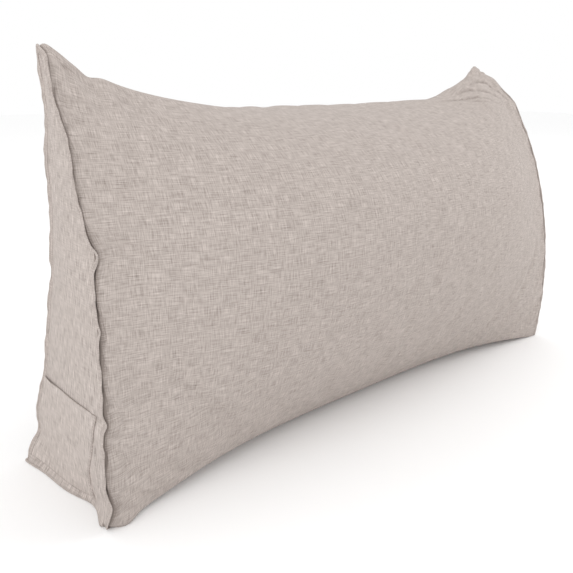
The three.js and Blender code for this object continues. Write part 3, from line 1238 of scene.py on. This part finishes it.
@dataclass
class Flange:
    """The seam allowances round one end, turned out and topstitched."""

    form: PillowForm
    end: EndShape
    step: float = 0.0017
    packing: float = 1.6
    ear_stations: int = 28
    ear_reach: float = 0.05
    ear_trim: float = 0.3
    ear_spread: float = 0.28
    spread_reach: float = 0.022
    wrap_inset: float = 0.006
    low_height: float = 0.012
    fanning: int = 10
    floor: float = 0.0002
    half_thickest: float = 0.0010
    bend_power: float = 1.5
    waves_span: float = 1.2
    waves: tuple[Triple, ...] = (
        (0.00055, 0.061, 0.4), (0.00045, 0.027, 1.9), (0.00025, 0.0146, 3.1),
    )
    pattern_at: float = 5.0
    pattern_width: float = 0.016
    stitch_out: float = 0.0026
    stitch_off: float = 0.00055
    stitch_pitch: float = 0.0036
    lowest_stitch: float = 0.003
    profile: tuple[Pair, ...] = (
        (-0.0016, 0.00075), (0.0002, 0.00075), (0.0014, 0.00100), (0.0021, 0.00085), (0.0026, 0.00020),
        (0.0031, 0.00085), (0.0041, 0.00105), (0.0050, 0.00085), (0.0055, 0.00045), (0.0056, 0.0),
    )

    def _stations(self) -> tuple[np.ndarray, slice]:
        """Spaces the stations round the seam, packed at its corners so that the flange fans there.

        Returns:
            Each station's distance round the girth and its shares up and across the panel, one a
            row, and which of them are the ear's.
        """
        form = self.form
        from_ridge = form.tip_way(self.end.side) - form.base_half - form.front_length
        tip = 0.5 + from_ridge / (2 * form.strip_end)
        parts = []
        for face, length in (
            (Face.FRONT, form.front_length),
            (Face.CROWN, 2 * form.strip_end),
            (Face.BACK, form.rear_length),
            (Face.BASE, form.base_depth),
        ):
            count = self.ear_stations if face is Face.CROWN else round(length / self.step)
            even = np.linspace(0, 1, count, endpoint=False)
            share = {
                Face.FRONT: even**self.packing,
                Face.CROWN: tip + np.where(even < 0.5, tip, 1 - tip) * (2 * even - 1) ** 3,
                Face.BACK: (1 - even) ** self.packing,
                Face.BASE: 1 - even * even * (3 - 2 * even),
            }[face]
            s, here = np.full(share.shape, float(self.end.side)), np.ones(share.shape)
            if face in (Face.FRONT, Face.BACK):
                up, across = share, here * (face is Face.BACK)
            else:
                up, across = here * (face is Face.CROWN), share
            parts.append(np.stack([form.way(face, s, up, across), up, across], axis=1))
        return np.vstack(parts), slice(len(parts[0]), len(parts[0]) + len(parts[1]))

    @staticmethod
    def _eased(vectors: np.ndarray) -> np.ndarray:
        """Evens vectors round the seam with their neighbours."""
        return (np.roll(vectors, 1, axis=0) + vectors + np.roll(vectors, -1, axis=0)) / 3

    def _outward(self, stations: np.ndarray, point: np.ndarray, along: np.ndarray) -> np.ndarray:
        """Finds which way the flange stands, between running on from the wrap and from the panel.

        Args:
            stations: The stations' distances round the girth and shares up and across the panel.
            point: Their places.
            along: The seam's directions there.

        Returns:
            The directions, one a row, before the ear is fanned.
        """
        form, side = self.form, self.end.side
        way, up, across = stations.T
        off_panel = form.run_out(side, up, across)
        off_panel = unit(off_panel - along * np.sum(off_panel * along, axis=1)[:, None])
        off_wrap = unit(point - form.wrap(side * (1 - self.wrap_inset / form.half_length), way))
        from_ear = (way - form.base_half - form.front_length) / self.ear_reach
        own = np.where(from_ear < 0, *self.end.flange_turn)
        turn = own + (1 - own) * bell(from_ear) * (side < 0)
        outward = off_wrap + (off_panel - off_wrap) * turn[:, None]
        low = np.clip(1 - point[:, 2] / self.low_height, 0, 1)
        outward[:, 2] = np.where(outward[:, 2] < 0, outward[:, 2] * (1 - low), outward[:, 2])
        for _ in range(self.fanning):
            outward = self._eased(unit(outward))
        return unit(outward)

    def run(self) -> SeamRun:
        """Lays out the stations of the seam and fans the flange round the ear.

        Returns:
            The stations, up the front, over the ear, down the rear and along the base.
        """
        stations, ear = self._stations()
        way, side = stations[:, 0], self.end.side
        point = self.form.wrap(np.full(way.shape, float(side)), way)
        along = unit(np.roll(point, -1, axis=0) - np.roll(point, 1, axis=0))
        outward = self._outward(stations, point, along)

        count = ear.stop - ear.start
        before, after = outward[ear.start - 1], outward[ear.stop]
        top = before + after + np.array((0, 0, 1)) * np.linalg.norm(before - after)
        sweep = np.pi * (np.arange(count) + 0.5)[:, None] / count
        fan = before * np.maximum(np.cos(sweep), 0) + after * np.maximum(-np.cos(sweep), 0)
        outward[ear] = unit(fan + top / np.linalg.norm(top) * np.sin(sweep))

        sideways = np.cross(outward, along)
        share = np.linspace(0, 1, count)[:, None]
        sideways[ear] = sideways[ear.start - 2] * (1 - share) + sideways[ear.stop + 1] * share
        for _ in range(self.fanning):
            sideways = self._eased(sideways)
        sideways = unit(sideways - outward * np.sum(sideways * outward, axis=1)[:, None])

        from_tip = (way - self.form.tip_way(side)) / self.spread_reach
        outward *= 1 + self.ear_spread * bell(from_tip)[:, None]
        outward[ear] *= 1 - self.ear_trim * np.sin(sweep) ** 2
        steps = np.linalg.norm(np.roll(point, -1, axis=0) - point, axis=1)
        return SeamRun(point, outward, sideways, along, np.cumsum(steps) - steps)

    def _wave(self, length: np.ndarray) -> np.ndarray:
        """How far the free edge wanders sideways along the seam."""
        return sum(size * np.sin(length / period * 2 * np.pi + phase) for size, period, phase in self.waves)

    def build(self) -> list[bpy.types.Object]:
        """Makes the flange and its topstitching.

        Returns:
            Both dressed objects.
        """
        run = self.run()
        count = len(run.point)
        ring = np.array([*self.profile, *[(o, -n) for o, n in reversed(self.profile[:-1])]])
        bm = bmesh.new()
        bmesh.ops.create_grid(bm, x_segments=count, y_segments=len(ring), size=0.5)
        grid = coordinates(bm)
        i = np.rint((grid[:, 0] + 0.5) * count).astype(int)
        j = np.rint((grid[:, 1] + 0.5) * len(ring)).astype(int)
        total = run.length[-1] + self.step
        length = np.where(i == count, total, run.length[i % count])
        i, j = i % count, j % len(ring)
        out, off = ring[j].T
        free = np.clip(out / self.profile[-1][0], 0, 1) ** self.bend_power
        bend = free * self._wave(run.length[i] / total * self.waves_span)
        places = run.point[i] + run.outward[i] * out[:, None] + run.sideways[i] * (off + bend)[:, None]
        lowest = self.floor + self.half_thickest + off * run.sideways[i][:, 2]
        places[:, 2] = np.maximum(places[:, 2], lowest)
        round_it = (grid[:, 1] + 0.5) * self.pattern_width
        lay_pattern(bm, np.stack([round_it + self.pattern_at, length], axis=1))
        place_vertices(bm, places)
        bmesh.ops.remove_doubles(bm, verts=bm.verts, dist=1e-6)
        bmesh.ops.recalc_face_normals(bm, faces=bm.faces)
        flange = finished(f"flange_{self.end.name}_cloth", bm)
        linen = HeatheredLinen(f"linen_flange_{self.end.name}", level=0.53)
        flange.data.materials.append(linen.make())
        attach(flange, "root")
        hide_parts(f"flange_{self.end.name}")
        return [flange, self._stitches(run)]

    def _stitches(self, run: SeamRun) -> bpy.types.Object:
        """Makes the topstitching on both faces of the flange.

        Args:
            run: The seam's stations.

        Returns:
            The dressed stitches.
        """
        places = []
        for at in np.arange(0, run.length[-1], self.stitch_pitch):
            i = int(np.searchsorted(run.length, at)) % len(run.point)
            for face in (-1, 1):
                centre = run.point[i] + run.outward[i] * self.stitch_out
                centre = centre + run.sideways[i] * face * self.stitch_off
                if centre[2] > self.lowest_stitch:
                    places.append((centre, run.along[i], run.outward[i]))
        made = stitched(f"topstitch_{self.end.name}", places)
        made.data.materials.append(SewingThread(f"thread_{self.end.name}").make())
        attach(made, "root")
        return made


@dataclass
class PatchPocket:
    """The hemmed patch on the left end panel, open at the top.

    Its edge gives the share across the panel of its front edge at shares of the panel's height.
    """

    form: PillowForm
    end: EndShape
    rows: int = 64
    columns: int = 84
    width: float = 0.13
    thickness: float = 0.0011
    stand_off: float = 0.0006
    rear: float = 0.985
    rise: float = 0.022
    mouth_gap: float = 0.0016
    gap_depth: float = 0.022
    gap_at: float = 0.84
    gap_reach: float = 0.15
    gap_ripple: float = 0.1
    hem: float = 0.010
    hem_lift: float = 0.0005
    hem_softness: float = 0.0006
    groove: float = 0.0004
    groove_reach: float = 0.0010
    hem_groove_at: float = 0.0012
    fell_at: float = 0.0022
    pattern_at: Pair = (3.0, 0.4)
    stitch_count: int = 32
    stitch_inset: float = 0.013
    stitch_lift: float = 0.0003
    edge: tuple[Pair, ...] = (
        (0.016, 0.245), (0.05, 0.275), (0.09, 0.245), (0.135, 0.175), (0.18, 0.118), (0.225, 0.09),
    )

    def build(self) -> list[bpy.types.Object]:
        """Makes the pocket and its stitching.

        Returns:
            Both dressed objects.
        """
        levels, fronts = np.array(self.edge).T
        bm = bmesh.new()
        bmesh.ops.create_grid(bm, x_segments=self.columns, y_segments=self.rows, size=0.5)
        grid = coordinates(bm) + np.array([0.5, 0.5, 0])
        side, height = grid[:, 0], grid[:, 1]
        level = levels[0] + height * (levels[-1] - levels[0])
        front = np.interp(level, levels, fronts)
        across = front + side * (self.rear - front)
        places = self.form.panel(self.end.side, level + self.rise * height * (1 - side), across)
        down = (1 - height) * (levels[-1] - levels[0]) * self.form.ear_height
        gap = self.mouth_gap * bell(down / self.gap_depth)
        gap *= bell((side - self.gap_at) / self.gap_reach) + self.gap_ripple * np.sin(np.pi * side)
        hem = self.hem_lift * (1 / (1 + np.exp((down - self.hem) / self.hem_softness)))
        hem_groove = self.groove * bell((down - self.hem + self.hem_groove_at) / self.groove_reach)
        fell = self.groove * bell((side * self.width - self.fell_at) / self.groove_reach)
        places[:, 0] += self.end.side * (self.stand_off + gap + hem - hem_groove - fell)
        lay_pattern(bm, places[:, 1:] + np.array(self.pattern_at))
        place_vertices(bm, places)
        bmesh.ops.recalc_face_normals(bm, faces=bm.faces)
        pocket = finished("pocket_cloth", bm)
        wall = pocket.modifiers.new("cloth_thickness", "SOLIDIFY")
        wall.thickness = self.thickness
        wall.offset = 0
        baked(pocket)
        pocket.data.materials.append(POCKET_LINEN.make())
        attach(pocket, "root")
        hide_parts("pocket_left")
        stitches = self._stitches(levels, fronts)
        return [pocket, stitches]

    def _stitches(self, levels: np.ndarray, fronts: np.ndarray) -> bpy.types.Object:
        """Makes the stitches down the pocket's front side.

        Args:
            levels: Levels of the pocket's front edge.
            fronts: That edge's share across the panel at each level.

        Returns:
            The dressed stitches.
        """
        height = np.linspace(0, 1, self.stitch_count)
        level = levels[0] + height * (levels[-1] - levels[0])
        across = np.interp(level, levels, fronts) + self.stitch_inset
        run = self.form.panel(self.end.side, level + self.rise * height, across)
        sideways = np.array([self.end.side, 0, 0])
        off = sideways * (self.stand_off + self.thickness * 0.5 + self.stitch_lift)
        places = [((a + b) / 2 + off, b - a, sideways) for a, b in zip(run[:-1], run[1:])]
        made = stitched("pocket_stitches", places)
        made.data.materials.append(SewingThread("thread_pocket").make())
        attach(made, "root")
        return made


# Studio


@dataclass
class Studio:
    """The pale floor, the soft lights and the camera of the photograph."""

    form: PillowForm
    focal_px: float = 710.35
    centre_row_px: float = 200.0
    turn: float = -0.7269
    tilt: float = 0.1736
    eye: Triple = (-0.7404, -0.7312, 0.4738)
    pale: Triple = (0.95, 0.95, 0.95)
    glow: float = 0.02
    floor_half: float = 8.0
    aim_height: float = 0.22
    sensor_mm: float = 36.0
    windows: tuple[tuple[str, Triple, float, float], ...] = (
        ("key_window", (-3.0, -1.0, 2.0), 2.4, 32),
        ("fill_window", (3.0, -1.2, 2.2), 2.6, 34),
    )

    def build(self) -> None:
        """Makes the floor, the lights and the camera."""
        self._floor()
        world = bpy.data.worlds.new("studio")
        world.use_nodes = True
        surround = world.node_tree.nodes["Background"].inputs
        surround["Color"].default_value = (1.0, 1.0, 1.0, 1)
        surround["Strength"].default_value = 1.0
        bpy.context.scene.world = world
        for window in self.windows:
            self._light(*window)
        self._camera()
        bpy.context.scene.view_settings.view_transform = "Standard"

    def _floor(self) -> None:
        """Makes the floor as one wide pale plane."""
        bm = bmesh.new()
        bmesh.ops.create_grid(bm, x_segments=1, y_segments=1, size=self.floor_half)
        floor = finished("floor", bm, smooth=False)
        g = Graph("pale_floor")
        g.surface({
            "Base Color": (*self.pale, 1),
            "Emission Color": (*self.pale, 1),
            "Emission Strength": self.glow,
            "Roughness": 0.9,
            "Specular IOR Level": 0.1,
        })
        floor.data.materials.append(g.material)

    def _light(self, name: str, place: Triple, size: float, power: float) -> None:
        """Adds a square area light that faces the pillow's middle.

        Args:
            name: The light's name.
            place: Where it stands.
            size: The side of the square.
            power: Its power in watts.
        """
        data = bpy.data.lights.new(name, "AREA")
        data.shape = "SQUARE"
        data.size = size
        data.energy = power
        lamp = bpy.data.objects.new(name, data)
        lamp.location = place
        aim = Vector((0, 0, self.aim_height)) - Vector(place)
        lamp.rotation_euler = aim.to_track_quat("-Z", "Y").to_euler()
        bpy.context.scene.collection.objects.link(lamp)

    def _camera(self) -> None:
        """Sets the camera at the photograph's viewpoint."""
        data = bpy.data.cameras.new("photo_camera")
        data.sensor_width = self.sensor_mm
        data.lens = self.focal_px / PHOTO_SIDE_PX * data.sensor_width
        data.shift_y = -(PHOTO_SIDE_PX / 2 - self.centre_row_px) / PHOTO_SIDE_PX
        data.clip_start = 0.01
        camera = bpy.data.objects.new("photo_camera", data)
        forward = Vector((
            -math.sin(self.turn) * math.cos(self.tilt),
            math.cos(self.turn) * math.cos(self.tilt),
            -math.sin(self.tilt),
        ))
        right = forward.cross(Vector((0, 0, 1))).normalized()
        turned = Matrix((right, right.cross(forward), -forward)).transposed().to_4x4()
        eye = Vector(self.eye) + Vector(self.form.place)
        camera.matrix_world = Matrix.Translation(eye) @ turned
        bpy.context.scene.collection.objects.link(camera)
        bpy.context.scene.camera = camera


def main() -> None:
    """Builds the pillow piece by piece and the studio round it."""
    logging.basicConfig(level=logging.INFO, format="%(name)s: %(message)s")
    form = PillowForm()
    made = [StuffedCover(form).build()]
    for end in (LEFT_END, RIGHT_END):
        made += Flange(form, end).build()
    made += PatchPocket(form, LEFT_END).build()
    for piece in made:
        LOG.info("%s: %d vertices", piece.name, len(piece.data.vertices))
    Studio(form).build()
    LOG.info("studio ready")


if __name__ == "__main__":
    main()
